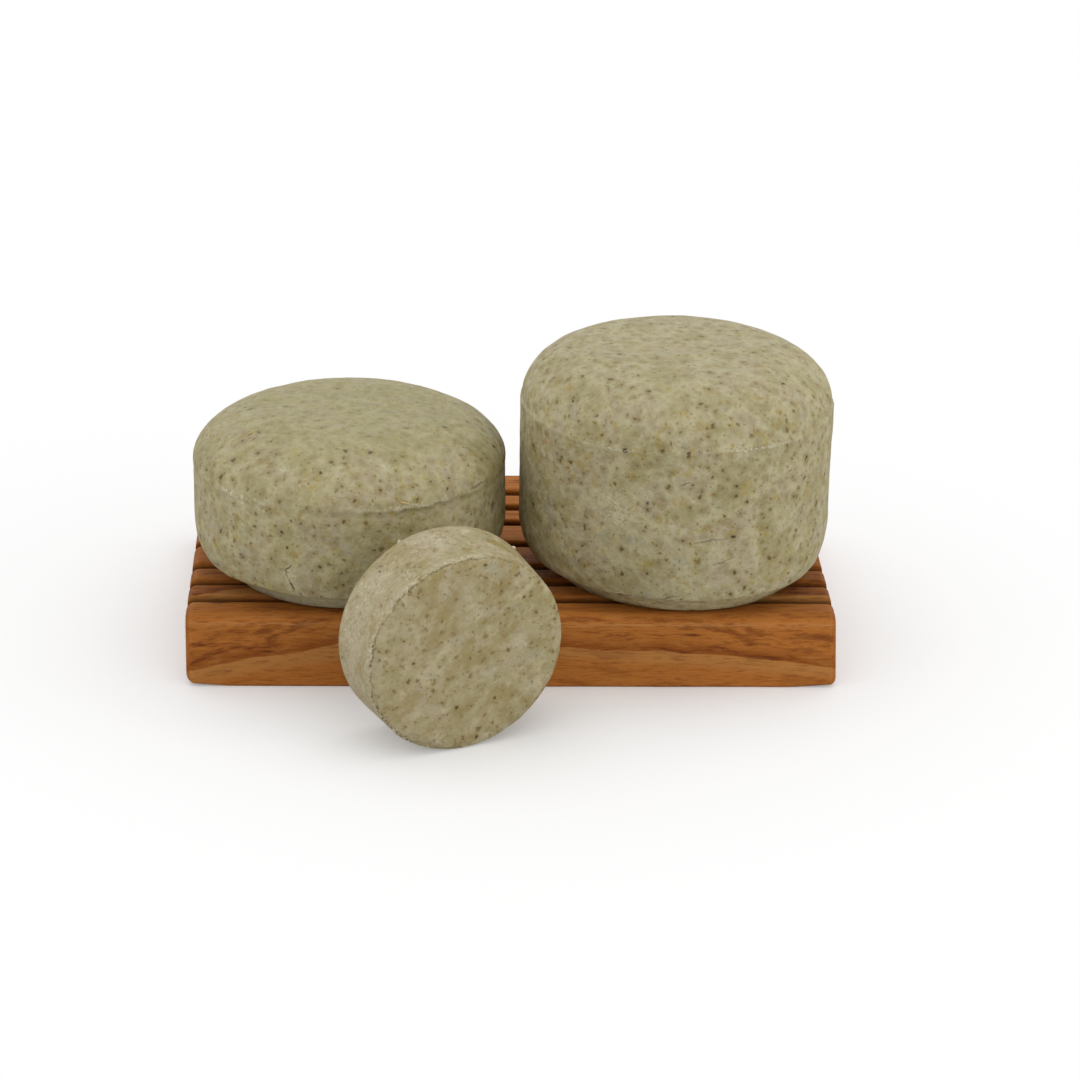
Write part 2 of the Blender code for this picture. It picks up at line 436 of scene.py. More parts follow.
@dataclass(frozen=True)
class SoapFinish:
    """Hard, dull soap with herb flecks through it, and pale crumbs where it has dried."""

    name: str  # the material's name
    shift: float = 0.0  # where in the endless scatter of flecks this soap is cut from
    body: Colour = rgb(173, 164, 129)  # most of the soap
    pale: Colour = rgb(187, 179, 149)  # its palest patches
    olive: Colour = rgb(153, 144, 103)  # its greener patches
    rosy: Colour = rgb(162, 149, 124)  # its pinker patches
    ochre: Colour = rgb(163, 143, 80)  # its yellow stains
    cool_grey_and_foot_shade: Colour = rgb(156, 156, 138)  # its cool grey patches, and the painted shade below the foot's crease
    chalk: Colour = rgb(204, 197, 168)  # its crumbs
    dried: Colour = rgb(200, 193, 164)  # its dried patches
    shadow: Colour = rgb(80, 64, 38)  # the painted shade down in a crack and in the line beside the seam
    herb: Colour = rgb(58, 42, 24)  # its largest flecks
    seam_shade: float = 0.05  # how dark the line of painted shade beside the seam's crumbs is
    crumb_width: float = 0.0006  # how far from the seam its crumbs reach
    dryness: float = 0.60  # how strongly dried patches show
    crowding: float = 1.0  # what the share of flecks is multiplied by
    fleck_size: float = 1.0  # what the radii of its flecks are multiplied by
    streaks: float = 0.0  # how strongly slanting streaks show
    slant: float = 35.0  # how steep those are, in degrees
    foot_shade: float = 0.0  # how much painted shade greys it below the foot's crease
    skin: Colour | None = None  # the colour of the skin on its top, or None where that is the body's
    skin_share: float = 0.16  # how much of that skin covers the mottling
    grain: float = 0.0007  # the size of the fine grain that tears the edges of all marks
    tear: float = 0.00016  # how far it tears them
    line_place: float = 0.00020  # how far beyond the seam its line of painted shade lies
    herb_fade: float = 0.00020  # how far a large herb's edge fades out
    herb_halo: float = 0.0011  # how far its stain reaches
    relief: float = 0.00015  # how high the skin's fine lumps are
    # Its flecks, from the largest dark ones to a few of rust
    layers: tuple[FleckLayer, ...] = (
        FleckLayer(cell=0.0027, largest=0.00057, edge=0.00015, halo=0.0015, kept=0.90, ragged=0.0013,
                   light=rgb(108, 88, 44), dark=rgb(54, 40, 18), cover=0.95, stain=0.38),
        FleckLayer(cell=0.0016, largest=0.00046, edge=0.00016, halo=0.0009, kept=0.80, ragged=0.0010,
                   light=rgb(130, 112, 56), dark=rgb(86, 72, 34), cover=0.75),
        FleckLayer(cell=0.0009, largest=0.00025, edge=0.00011, halo=0.0004, kept=0.75, ragged=0.0005,
                   light=rgb(142, 120, 64), dark=rgb(98, 82, 46), cover=0.65),
        FleckLayer(cell=0.0042, largest=0.00040, edge=0.00012, halo=0.0005, kept=0.50, ragged=0.0008,
                   light=rgb(190, 140, 90), dark=rgb(166, 112, 60), cover=0.65),
    )

    def ground(self, graph: NodeGraph) -> Socket:
        """Mottle the soap: olive and pale at three sizes, pinker and yellower stains, cool smudges.

        Each coat is a noise with where it starts to show, where it is full and how much it
        covers there.

        Args:
            graph: the material's nodes.

        Returns:
            The colour of the soap without its flecks.
        """
        step = graph.step
        place = graph.place(shift=self.shift)
        broad = graph.noise(graph.warp(place, cell=0.009, reach=0.006), cell=0.0075)
        small = graph.noise(place, cell=0.0021, detail=3.0, roughness=0.62)
        stains = graph.noise(graph.place(shift=self.shift + 0.17), cell=0.0026, detail=3.0, roughness=0.6)
        cool = graph.noise(graph.place(shift=self.shift + 0.31), cell=0.0048)
        coats = [(step(broad, 0.46, 0.64, 0.72), self.olive), (step(broad, 0.50, 0.36, 0.60), self.rosy),
                 (step(small, 0.50, 0.72, 0.66), self.olive), (step(small, 0.49, 0.28, 0.46), self.pale),
                 (step(stains, 0.54, 0.72, 0.75), self.ochre), (step(stains, 0.44, 0.28, 0.50), self.rosy)]
        if self.streaks:
            slanting = graph.place((0.35, 1, 1), self.shift, turn=(0, math.radians(self.slant), 0))
            smears = graph.noise(slanting, cell=0.0036, detail=4.0, roughness=0.62)
            coats += [(step(smears, 0.48, 0.66, self.streaks), self.ochre),
                      (step(smears, 0.46, 0.32, self.streaks), self.pale)]
        return graph.coats(self.body, *coats, (step(cool, 0.60, 0.76, 0.50), self.cool_grey_and_foot_shade))

    def lay_marks(self, graph: NodeGraph, colour: Socket) -> tuple[Socket, Socket]:
        """Paint what the mesh marks: the seam with painted shade beside it, the painted shade below the
        foot's crease, dried patches, single herbs and cracks.

        Each mark holds a distance to a line or an edge, and fine noise makes that edge ragged.

        Args:
            graph: the material's nodes.
            colour: the colour under the marks.

        Returns:
            The painted colour, and the marks' height.
        """
        mark, math_of, step, times = graph.mark, graph.math, graph.step, graph.times
        fine = graph.noise(graph.place(shift=self.shift), self.grain, roughness=0.6)
        jitter = graph.spread(fine, -self.tear, self.tear)
        grit = graph.noise(graph.place(shift=self.shift + 0.05), self.grain, detail=3.0, roughness=0.65)

        seam = graph.times_plus(jitter, 1.6, mark("seam_offset"))
        strength = mark("seam_strength")
        before = math_of("ABSOLUTE", math_of("ADD", seam, self.crumb_width / 2))
        near = times(step(before, self.crumb_width, 0.0), strength)
        crumbs = times(near, step(grit, 0.42, 0.56))
        # The dark line beside the seam is painted shade under its step.
        after = math_of("ABSOLUTE", math_of("SUBTRACT", seam, self.line_place))
        line = times(times(step(after, 0.00030, 0.00006), strength), step(grit, 0.60, 0.44))

        dried = times(mark("chalk"), step(grit, 0.34, 0.60))
        specks = times(mark("chalk"), step(fine, 0.58, 0.68, self.dryness))
        gap = math_of("ADD", mark("herb_gap"), times(jitter, 2.2))
        herb = step(gap, self.herb_fade, -self.herb_fade)
        aside = math_of("ABSOLUTE", math_of("ADD", mark("crack_offset"), jitter))
        crack = times(step(aside, 0.00022, 0.00006), mark("crack_strength"))
        rim = times(step(aside, 0.0008, 0.0003, 0.45), mark("crack_strength"))

        # Painted shade greys the band below the foot's crease.
        colour = graph.coats(
            colour, (times(mark("top_skin"), self.skin_share), self.skin or self.body),
            (times(mark("foot_shade_band"), self.foot_shade), self.cool_grey_and_foot_shade),
            (step(gap, self.herb_halo, 0.0, 0.45), self.ochre), (times(herb, 0.85), self.herb),
            (times(dried, self.dryness), self.dried), (specks, self.chalk), (times(near, 0.40), self.pale),
            (times(crumbs, 0.90), self.chalk), (rim, self.pale), (times(line, self.seam_shade), self.shadow),
            (times(crack, 0.90), self.shadow))
        raised = graph.times_plus(crumbs, 0.00014, times(dried, 0.00003))
        sunk = graph.times_plus(crack, 0.00020, times(line, 0.00006))
        return colour, math_of("SUBTRACT", raised, sunk)

    def material(self) -> bpy.types.Material:
        """Build the material: mottled ground, scattered flecks, the mesh's marks and a fine relief.

        Returns:
            The soap.
        """
        graph = NodeGraph.for_material(self.name)
        colour = self.ground(graph)
        for number, layer in enumerate(self.layers):
            colour = layer.paint(graph, colour, self.shift + 0.07 * number, self.crowding, self.fleck_size)
        colour, height = self.lay_marks(graph, colour)
        lumps = graph.noise(graph.place(shift=self.shift), cell=0.0034, detail=4.0, roughness=0.58)
        height = graph.math("ADD", height, graph.spread(lumps, -self.relief, self.relief))
        return graph.finish(colour, graph.spread(lumps, 0.64, 0.52), height, gloss=0.22)


@dataclass(frozen=True)
class StrawFinish:
    """Pale dry straw or soap skin, with fine fibres."""

    name: str  # the material's name
    tan: Colour = rgb(196, 158, 102)  # most of it
    cream: Colour = rgb(222, 196, 146)  # its palest fibres
    relief: float = 0.00002  # how high the fibres stand

    def material(self) -> bpy.types.Material:
        """Build the material: two colours mixed by fine noise, which also gives the relief.

        Returns:
            The straw.
        """
        graph = NodeGraph.for_material(self.name)
        fibres = graph.noise(graph.place(), cell=0.0003)
        colour = graph.mix(graph.step(fibres, 0.35, 0.65), self.tan, self.cream)
        return graph.finish(colour, 0.6, graph.spread(fibres, -self.relief, self.relief), gloss=0.3)


@dataclass(frozen=True)
class WoodFinish:
    """Oiled orange-brown wood whose growth rings are cut lengthwise, with short dark pores.

    Each ring starts with a sharp edge, pale, and darkens slowly to reddish brown.
    """

    name: str  # the material's name
    pith_y: float = 0.012  # how far behind the board's middle the tree's middle lies
    pith_z: float = 0.090  # how far above the board's underside it lies
    ring: float = 0.016  # the thickness of one growth ring
    phase: float = 0.09  # how many rings the pattern is moved out by
    arch: float = 0.114  # how steeply a ring falls away on both sides of its peak
    arch_tip: float = 0.010  # how far from the peak it takes to bend that way
    arch_x: float = -0.027  # where along the board the rings peak
    tilt: float = 0.050  # how steeply the rings rise along the board as a whole
    waver: float = 0.010  # the size of the rings' waves
    relief: float = 0.00003  # how high the fibres stand
    tan: Colour = rgb(180, 123, 66)  # a ring's pale start
    orange: Colour = rgb(177, 110, 50)  # most of it
    brown: Colour = rgb(144, 82, 34)  # towards its end
    russet: Colour = rgb(108, 54, 27)  # the flames and the flecks beside the pores
    pore: Colour = rgb(56, 30, 14)  # the pores
    cut_shade_and_dark_top: Colour = rgb(52, 27, 11)  # the painted shade deep in the saw cuts, also laid on the top towards the ends
    sheen_and_wear: Colour = rgb(206, 152, 98)  # the painted highlight along the front's upper edge, partly real rubbing

    def growth(self, graph: NodeGraph) -> tuple[Socket, Socket]:
        """Measure how far each point lies from the tree's middle, and how far along the board.

        The distance wanders by noise. Along the board it is lessened as a hyperbola falls
        away from its peak, less the tilt.

        Args:
            graph: the material's nodes.

        Returns:
            The distance, and coordinates that follow the rings: along, out and across.
        """
        math_of, times, times_plus = graph.math, graph.times, graph.times_plus
        bent = graph.warp(graph.place(stretch=(0.25, 1, 1)), self.waver, self.waver / 2, detail=3.0)
        bent = graph.add("SeparateXYZ", {0: bent}).outputs
        along = graph.add("SeparateXYZ", {0: graph.place()}).outputs[0]
        across = math_of("SUBTRACT", bent[1], self.pith_y)
        below = math_of("SUBTRACT", bent[2], self.pith_z)
        squares = math_of("ADD", times(across, across), times(below, below))
        reach = math_of("SUBTRACT", along, self.arch_x)
        bend = math_of("SQRT", times_plus(reach, reach, self.arch_tip ** 2))
        drop = times_plus(bend, self.arch, times(reach, -self.tilt))
        distance = math_of("SUBTRACT", math_of("SQRT", squares), drop)
        followed = graph.add("CombineXYZ", {0: times(along, 0.20), 1: distance, 2: bent[1]}).outputs[0]
        return distance, followed

    def material(self) -> bpy.types.Material:
        """Build the material: rings, russet flames, fibres and pores along the board.

        Returns:
            The wood.
        """
        graph = NodeGraph.for_material(self.name)
        mark, step, times = graph.mark, graph.step, graph.times
        distance, followed = self.growth(graph)
        age = graph.math("FRACT", graph.times_plus(distance, 1 / self.ring, self.phase))
        rings = graph.ramp(age, [(0.0, self.tan), (0.10, self.tan), (0.20, self.orange),
                                 (0.80, self.orange), (0.95, self.brown), (0.988, self.brown),
                                 (1.0, self.tan)])
        flames = graph.noise(followed, cell=0.0022, detail=5.0, roughness=0.70)
        older = graph.times_plus(step(age, 0.20, 0.95), 0.55, 0.30)
        fibres = graph.noise(graph.place(stretch=(0.10, 1, 1)), cell=0.00045, detail=3.0, roughness=0.7)
        colour = graph.coats(
            rings, (times(step(flames, 0.50, 0.64), older), self.russet),
            (step(flames, 0.46, 0.32, 0.55), self.tan), (step(fibres, 0.50, 0.70, 0.50), self.russet),
            (step(fibres, 0.50, 0.30, 0.40), self.tan))
        pores = FleckLayer(cell=0.0021, largest=0.00042, edge=0.00010, halo=0.0004, kept=0.34,
                           ragged=0.0003, light=self.russet, dark=self.pore, cover=0.90,
                           stretch=(0.16, 1, 1))
        # A painted highlight along the front's upper edge, broken by the fibres; partly real rubbing.
        rubbed_sheen = times(mark("edge_sheen_and_wear"), step(fibres, 0.62, 0.44))
        # Painted shade deep in the saw cuts, which also darkens the top towards the ends.
        colour = graph.coats(
            pores.paint(graph, colour, shift=0.6), (times(rubbed_sheen, 0.35), self.sheen_and_wear),
            (times(mark("end_grain"), 0.45), self.brown), (times(mark("cut_shade"), 0.80), self.cut_shade_and_dark_top))
        height = graph.spread(fibres, self.relief, -self.relief)
        return graph.finish(colour, graph.spread(fibres, 0.42, 0.55), height, gloss=0.03)


@dataclass(frozen=True)
class FloorFinish:
    """A plain pale floor that fades to white away from the set."""

    name: str  # the material's name
    seen: Colour = (0.97, 0.97, 0.97)  # the floor's colour as the camera sees it
    bounced: Colour = (0.62, 0.61, 0.59)  # its colour as the set sees it, which tempers the light
    fade_start: float = 0.0  # how far from the middle it starts to fade
    fade_end: float = 0.26  # how far from the middle it is white

    def material(self) -> bpy.types.Material:
        """Build the material: a dull floor, mixed with plain white by distance for the camera.

        Returns:
            The floor's material.
        """
        graph = NodeGraph.for_material(self.name)
        ray = graph.add("LightPath", {}).outputs["Is Camera Ray"]
        distance = graph.add("VectorMath", {0: graph.place()}, operation="LENGTH").outputs["Value"]
        faded = graph.times(graph.step(distance, self.fade_start, self.fade_end), ray)
        graph.feed(graph.shader, {"Base Color": graph.mix(ray, self.bounced, self.seen),
                                  "Roughness": 0.9, "Specular IOR Level": 0.0})
        white = graph.add("Emission", {"Color": WHITE, "Strength": 1.0}).outputs[0]
        blend = graph.add("MixShader", {0: faded, 1: graph.shader.outputs[0], 2: white})
        graph.feed(graph.tree.nodes["Material Output"], {"Surface": blend.outputs[0]})
        return graph.holder


@dataclass(frozen=True)
class SurfacePlace:
    """A place on a puck."""

    angle: float  # how far round its axis
    travel: float  # how far from the middle of its top, down along the surface


@dataclass(frozen=True)
class Crack:
    """A drying crack, from one place to another."""

    start: SurfacePlace  # one end
    end: SurfacePlace  # the other
    openness: float = 1.0  # how wide it gapes, where 1 is a hairline
    depth: float = 0.6  # how dark it is
    wander: float = 0.0008  # how far it strays to each side
    bend: float = 0.0022  # over what distance it strays
    reach: float = 0.003  # how far off its plane the surface may lie and still be cracked
    fade_start: float = 0.001  # how far from it its mark starts to fade
    fade_end: float = 0.002  # how far from it that is gone
    taper: float = 0.6  # how slowly it closes towards its ends, where 0 is not at all


@dataclass(frozen=True)
class Herb(SurfacePlace):
    """One large dark piece of herb in the surface, with its radius."""

    radius: float


@dataclass(frozen=True)
class Dent(SurfacePlace):
    """A soft dent, with its reach and depth. A depth below 0 makes a swelling."""

    reach: float
    depth: float


@dataclass(frozen=True)
class ChalkPatch(SurfacePlace):
    """A patch where the soap has dried pale, with its reach."""

    reach: float


@dataclass(frozen=True)
class Sliver:
    """A thin flat chip that sticks to the surface."""

    start: SurfacePlace  # one end
    end: SurfacePlace  # the other
    width: float = 0.0003  # its width
    proud: float = 0.00015  # how far it stands up
    sunk: float = 0.4  # how much of that its ends are sunk by
    arch: float = 0.6  # how much of that its middle rises by


@dataclass(frozen=True)
class MouldSeam:
    """The soft step and the broken line of crumbs that the mould's joint leaves round a puck."""

    ridge: float  # how far the crumbs stand proud
    width: float  # how far from the seam the ridge reaches
    step: float  # how far the surface lies back just beyond it
    edge: float  # over what distance it steps back
    facing: tuple[float, ...]  # where round the puck the crumbs are thickest
    spread: float  # how far to each side of those places they stay thick, in degrees
    least: float  # how thick they are elsewhere
    step_facing: float = 0.0  # where round the puck it lies back furthest
    step_spread: float = 40.0  # how far to each side of that it still does, in degrees
    step_least: float = 1.0  # what share of the step is left elsewhere
    lead: float = 0.3  # how much of the stepping lies before the seam's line
    fade: float = 0.005  # how far on that step fades out
    side: int = 1  # on which side the surface lies back: 1 for the wall's, -1 for the top's
    broken: float = 1.0  # how much of the line is missing, where 1 is about a third
    wander: float = 0.0007  # how far up and down it strays
    ragged: float = 0.0003  # how far its edge is torn in and out
    break_cell: float = 0.006  # the size of its breaks
    crumb_cell: float = 0.0016  # the size of its crumbs
    crumb_mean: float = 0.8  # their mean thickness
    crumb_swing: float = 0.5  # how much that varies
    wander_cell: float = 0.009  # the size of its bends
    torn_cell: float = 0.0018  # the size of its tears

    def strength(self, ring: np.ndarray, angle: np.ndarray, seed: int) -> np.ndarray:
        """Return how thick the crumbs are round the puck: bell curves, broken by noise.

        Args:
            ring: points on a circle round the puck.
            angle: their angles in radians.
            seed: the seed of the breaks.

        Returns:
            The strength at each angle, from 0 to about 1.
        """
        breaks = smooth_step(layered_noise(ring, self.break_cell, 2, seed), -0.60, 0.15)
        crumbs = self.crumb_mean + self.crumb_swing * layered_noise(ring, self.crumb_cell, 2, seed + 5)
        thick = np.max([bell(turned_from(angle, facing), self.spread) for facing in self.facing], axis=0)
        return (1 - self.broken * (1 - breaks)) * crumbs * (self.least + (1 - self.least) * thick)

    def offset(self, ring: np.ndarray, below: np.ndarray, seed: int) -> np.ndarray:
        """Return how far points lie beyond the seam's line, which wanders and is torn by noise.

        Args:
            ring: points on a circle round the puck.
            below: how far each point lies below the mould's joint.
            seed: the seed of the wandering.

        Returns:
            The distance on the side that lies back.
        """
        strayed = self.wander * layered_noise(ring, self.wander_cell, 3, seed)
        torn = self.ragged * layered_noise(ring, self.torn_cell, 2, seed + 3)
        return self.side * below - strayed - torn

    def set_back(self, beyond: np.ndarray, angle: np.ndarray) -> np.ndarray:
        """Return how far the surface lies back: a smooth step at the seam that fades out further on.

        Args:
            beyond: how far points lie beyond the seam's line.
            angle: their angles in radians.

        Returns:
            The distance in.
        """
        fading = smooth_step(beyond, -self.lead * self.edge, self.edge)
        fading *= np.exp(-np.maximum(beyond, 0) / self.fade)
        most = bell(turned_from(angle, self.step_facing), self.step_spread)
        return self.step * fading * (self.step_least + (1 - self.step_least) * most)


@dataclass
class PuckForm:
    """The turned form of a puck, as a half outline from the middle of the top to that of the base."""

    seam_radius: float  # the wall's radius at the mould's seam
    foot_radius: float  # the wall's radius above the foot's rounding
    height: float  # from the foot to the middle of the top
    seam_height: float  # the seam's height
    shoulder_run: float  # how far in the shoulder's rounding reaches from the seam
    foot_run: float  # how far in the foot's rounding would reach
    foot_rise: float  # how far up the foot's rounding reaches
    crease_height: float  # where the foot's rounding breaks off into a flat slant
    base_radius: float  # the radius of the flat base
    softening: float = 0.0006  # how far along the outline its corners are softened
    probe: float = 0.0001  # how far to each side a slope is measured
    crowd_reach: float = 0.0016  # how far from the seam and the crease rings of points lie closer
    seam_crowd: float = 2.5  # how much closer they lie at the seam
    crease_crowd: float = 1.5  # how much closer they lie at the crease
    base_thinning: float = 0.9  # how much of their density is gone on the base
    base_band: float = 0.002  # over what distance in from the base's edge it goes

    def corners(self) -> np.ndarray:
        """Trace the half outline.

        The top is flat, the shoulder a quarter ellipse to the seam and the wall straight. The
        foot is the upper part of a quarter ellipse, then a straight slant to the flat base.

        Returns:
            Radius and height of each corner.
        """
        quarter = np.linspace(0, np.pi / 2, QUARTER_POINTS)[:, None]
        shoulder = np.hstack([
            self.seam_radius - self.shoulder_run + self.shoulder_run * np.sin(quarter),
            self.seam_height + (self.height - self.seam_height) * np.cos(quarter)])
        foot = np.hstack([
            self.foot_radius - self.foot_run + self.foot_run * np.cos(quarter),
            self.foot_rise * (1 - np.sin(quarter))])
        foot = foot[foot[:, 1] >= self.crease_height]
        return np.vstack([[[0, self.height]], shoulder, foot, [[self.base_radius, 0], [0, 0]]])

    def read(self, travel: np.ndarray) -> np.ndarray:
        """Read the outline, with its corners softened by a short running mean.

        Args:
            travel: distances along the outline.

        Returns:
            Radius and height at each distance.
        """
        corners = self.corners()
        near = travel[..., None] + self.softening * np.linspace(-1, 1, 5)
        return np.stack([np.interp(near, distance_along(corners), axis).mean(axis=-1)
                         for axis in corners.T], axis=-1)

    def slope(self, travel: np.ndarray, probe: float) -> np.ndarray:
        """Return the outline's direction, from a probe's length before each distance to one after."""
        slope = self.read(travel + probe) - self.read(travel - probe)
        return slope / np.linalg.norm(slope, axis=-1, keepdims=True)

    def travel_at(self, height: float) -> float:
        """Return how far a height on the wall lies from the middle of the top, along the outline."""
        return float(np.interp(-height, -self.corners()[:, 1], distance_along(self.corners())))

    def rings(self, rows: int) -> np.ndarray:
        """Choose where rings of points lie: close at the seam and the crease, and wide on the base.

        The rings are spread evenly over the running total of a density, which is 1 plus a
        bell curve at the seam and one at the crease, and falls away on the base.

        Args:
            rows: how many rings there are.

        Returns:
            The rings' distances along the outline.
        """
        length = distance_along(self.corners())[-1]
        fine = np.linspace(0, length, OUTLINE_STEPS)
        density = 1 + self.seam_crowd * bell(fine - self.travel_at(self.seam_height), self.crowd_reach)
        density += self.crease_crowd * bell(fine - self.travel_at(self.crease_height), self.crowd_reach)
        base_travel = length - self.base_radius
        density *= 1 - self.base_thinning * smooth_step(fine, base_travel, base_travel + self.base_band)
        total = np.cumsum(density)
        return np.interp(np.linspace(total[0], total[-1], rows + 2)[1:-1], total, fine)

    def frame_at(self, place: SurfacePlace) -> tuple[np.ndarray, np.ndarray]:
        """Find a place on the turned surface.

        Args:
            place: the place.

        Returns:
            The point, and the way out of the surface there.
        """
        travel, out = np.array(place.travel), outward(math.radians(place.angle))
        (radius, height), (run, rise) = self.read(travel), self.slope(travel, self.probe)
        return radius * out + height * UP, -rise * out + run * UP

    def distance(self, points: np.ndarray, place: SurfacePlace) -> np.ndarray:
        """Return how far points lie from a place on the turned surface."""
        return np.linalg.norm(points - self.frame_at(place)[0], axis=-1)


@dataclass(frozen=True)
class FootSwell:
    """How a puck's foot stands out on one side, beyond the turned form."""

    facing: float = -90.0  # where round the puck it is fullest
    spread: float = 60.0  # how far to each side it stays full, in degrees
    amount: float = 0.0  # how far the base stands out there
    height: float = 0.012  # how far up it fades out
    inner: float = 0.015  # how far from the axis the base moves by the whole amount

    def reach(self, angle: np.ndarray, outline: np.ndarray) -> np.ndarray:
        """Return how far out points of the outline move: a bell curve round the puck, less higher up."""
        low = (1 - smooth_step(outline[:, 1], 0, self.height)) * smooth_step(outline[:, 0], 0, self.inner)
        return self.amount * low[:, None] * bell(turned_from(angle, self.facing), self.spread)


class PuckStance(Enum):
    """How a puck stands."""

    ON_FOOT = "flat on its foot"
    ON_WALL = "on its wall, with its face to the front"


@dataclass
class SoapPuck:
    """One cast puck: a turned form made uneven."""

    node: str  # the name of the puck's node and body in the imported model
    slot: str  # the record's material slot
    form: PuckForm  # the turned form
    finish: SoapFinish  # the soap it is made of
    seam: MouldSeam  # the mould's seam
    seed: int  # the seed of its unevenness
    herbs: tuple[Herb, ...]  # its largest pieces of herb
    dents: tuple[Dent, ...]  # its dents
    chalk: tuple[ChalkPatch, ...]  # its dried patches
    slivers: tuple[Sliver, ...]  # the chips that stick to it
    cracks: tuple[Crack, ...] = ()  # its cracks
    swell: FootSwell = FootSwell()  # how its foot stands out
    stance: PuckStance = PuckStance.ON_FOOT  # how it stands
    turn: float = 0.0  # on its wall, how far its face is turned about the upright, in radians
    dip: float = 0.0  # on its wall, how far its face is dipped, in radians
    lumps: float = 0.00030  # how high its soft lumps are
    lumps_in: float = 0.4  # how much of that they lie in rather than out
    lump_cell: float = 0.014  # the size of the lumps
    ripples: float = 0.35  # how high the ripples on them are, as a share of theirs
    ripple_cell: float = 0.0036  # the size of the ripples
    crease_step: float = 0.0  # how far the foot lies back below its crease
    crease_edge: float = 0.0004  # over what distance it steps back
    crease_facing: float = -120.0  # where round the puck that is clearest
    crease_spread: float = 75.0  # how far to each side it still is, in degrees
    crease_wander: float = 0.0006  # how far up and down the crease strays
    crease_cell: float = 0.012  # over what distance it strays
    rest_band: float = 0.003  # over what height above the base all unevenness fades out
    rows: int = 195  # how many rings of points it has
    around: int = 500  # how many points each ring has
    sliver_finish: StrawFinish = StrawFinish("dry_straw")  # what its chips are made of

    def placement(self) -> Matrix:
        """Work out where the puck stands, from its solid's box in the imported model.

        Returns:
            The puck's own frame, whose origin is the middle of its foot.
        """
        low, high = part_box(self.node)
        middle = (low + high) / 2
        if self.stance is PuckStance.ON_FOOT:
            return Matrix.Translation((middle.x, middle.y, low.z))
        turned = Matrix.Rotation(self.turn, 4, "Z") @ Matrix.Rotation(math.pi / 2 + self.dip, 4, "X")
        middle -= turned @ Vector((0, 0, self.form.height / 2))
        rise = self.form.foot_rise * math.sin(self.dip) + self.form.foot_radius * math.cos(self.dip)
        return Matrix.Translation((middle.x, middle.y, rise)) @ turned

    def place_points(self, points: np.ndarray) -> np.ndarray:
        """Return points of the puck's own frame where the puck stands, none below its solid.

        Args:
            points: points in the puck's own frame, one row each.

        Returns:
            The same points in the set's frame.
        """
        placement = self.placement()
        placed = points @ np.array(placement.to_3x3()).T + np.array(placement.translation)
        placed[:, 2] = np.maximum(placed[:, 2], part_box(self.node)[0].z)
        return placed

    def mark_cracks(self, rest: np.ndarray) -> Marks:
        """Measure how each point lies to the nearest crack.

        A crack is a straight line that wanders by noise. Its offset is the distance across it
        over its openness, and its strength its depth times a sine along it, which ends at 0.

        Args:
            rest: the turned surface's points.

        Returns:
            The marks crack_offset and crack_strength, the second from 0 to 1.
        """
        offset = np.full(rest.shape[:-1], FAR_OFF)
        strength = np.zeros(rest.shape[:-1])
        for number, crack in enumerate(self.cracks):
            (first, out), (last, _) = self.form.frame_at(crack.start), self.form.frame_at(crack.end)
            length = float(np.linalg.norm(last - first))
            along = (last - first) / length
            travel = (rest - first) @ along / length
            noise = layered_noise(rest + CRACK_SHIFT * number, crack.bend, 3, self.seed + 40)
            aside = (rest - first) @ np.cross(out, along) - crack.wander * noise
            near = (np.abs((rest - first) @ out) < crack.reach) & (travel > 0) & (travel < 1)
            closer = near & (np.abs(aside) < np.abs(offset))
            offset[closer] = aside[closer] / crack.openness
            fade = 1 - smooth_step(np.abs(aside[closer]), crack.fade_start, crack.fade_end)
            strength[closer] = crack.depth * fade * np.sin(np.pi * travel[closer]) ** crack.taper
        return {"crack_offset": offset, "crack_strength": strength}

    def mark_spots(self, rest: np.ndarray) -> Marks:
        """Measure how each point lies to the large pieces of herb and the dried patches.

        Args:
            rest: the turned surface's points.

        Returns:
            The marks herb_gap, the distance beyond the nearest herb's edge, and chalk, the
            highest of the bell curves round the patches.
        """
        gap, chalk = np.full(rest.shape[:-1], FAR_OFF), np.zeros(rest.shape[:-1])
        for herb in self.herbs:
            gap = np.minimum(gap, self.form.distance(rest, herb) - herb.radius)
        for patch in self.chalk:
            chalk = np.maximum(chalk, bell(self.form.distance(rest, patch), patch.reach))
        return {"herb_gap": gap, "chalk": chalk}

    def unevenness(self, rest: np.ndarray, angle: np.ndarray, travel: np.ndarray) -> tuple[np.ndarray, Marks]:
        """Work out how far each point is pushed out, and mark the seam and the band that painted shade greys
        below the foot's crease.

        Soft lumps and a finer waviness push in and out. The seam is a bell curve across its
        wandering line, and beyond it the surface steps back and comes out again slowly. It
        steps back below the foot's crease too. Dents are bell curves. All of it fades out near
        the base, so that the puck rests flat.

        Args:
            rest: the turned surface's points.
            angle: each point's angle round the puck, in radians.
            travel: each point's distance from the middle of the top.

        Returns:
            The push out at each point, and the marks of the seam and of the foot's band of painted shade.
        """
        form, seed, noisy = self.form, self.seed, rest + SEED_SHIFT * self.seed
        push = self.lumps * (layered_noise(noisy, self.lump_cell, 3, seed) - self.lumps_in)
        push += self.ripples * self.lumps * layered_noise(noisy, self.ripple_cell, 2, seed + 10)
        ring = outward(angle) * form.seam_radius
        strength = self.seam.strength(ring, angle, seed + 30)
        beyond = self.seam.offset(ring, travel - form.travel_at(form.seam_height), seed + 20)
        push += self.seam.ridge * bell(beyond, self.seam.width) * strength
        push -= self.seam.set_back(beyond, angle)
        below = travel - form.travel_at(form.crease_height)
        below += self.crease_wander * layered_noise(ring, self.crease_cell, 3, seed + 50)
        creased = smooth_step(below, 0, self.crease_edge)
        creased *= bell(turned_from(angle, self.crease_facing), self.crease_spread)
        push -= self.crease_step * creased
        for dent in self.dents:
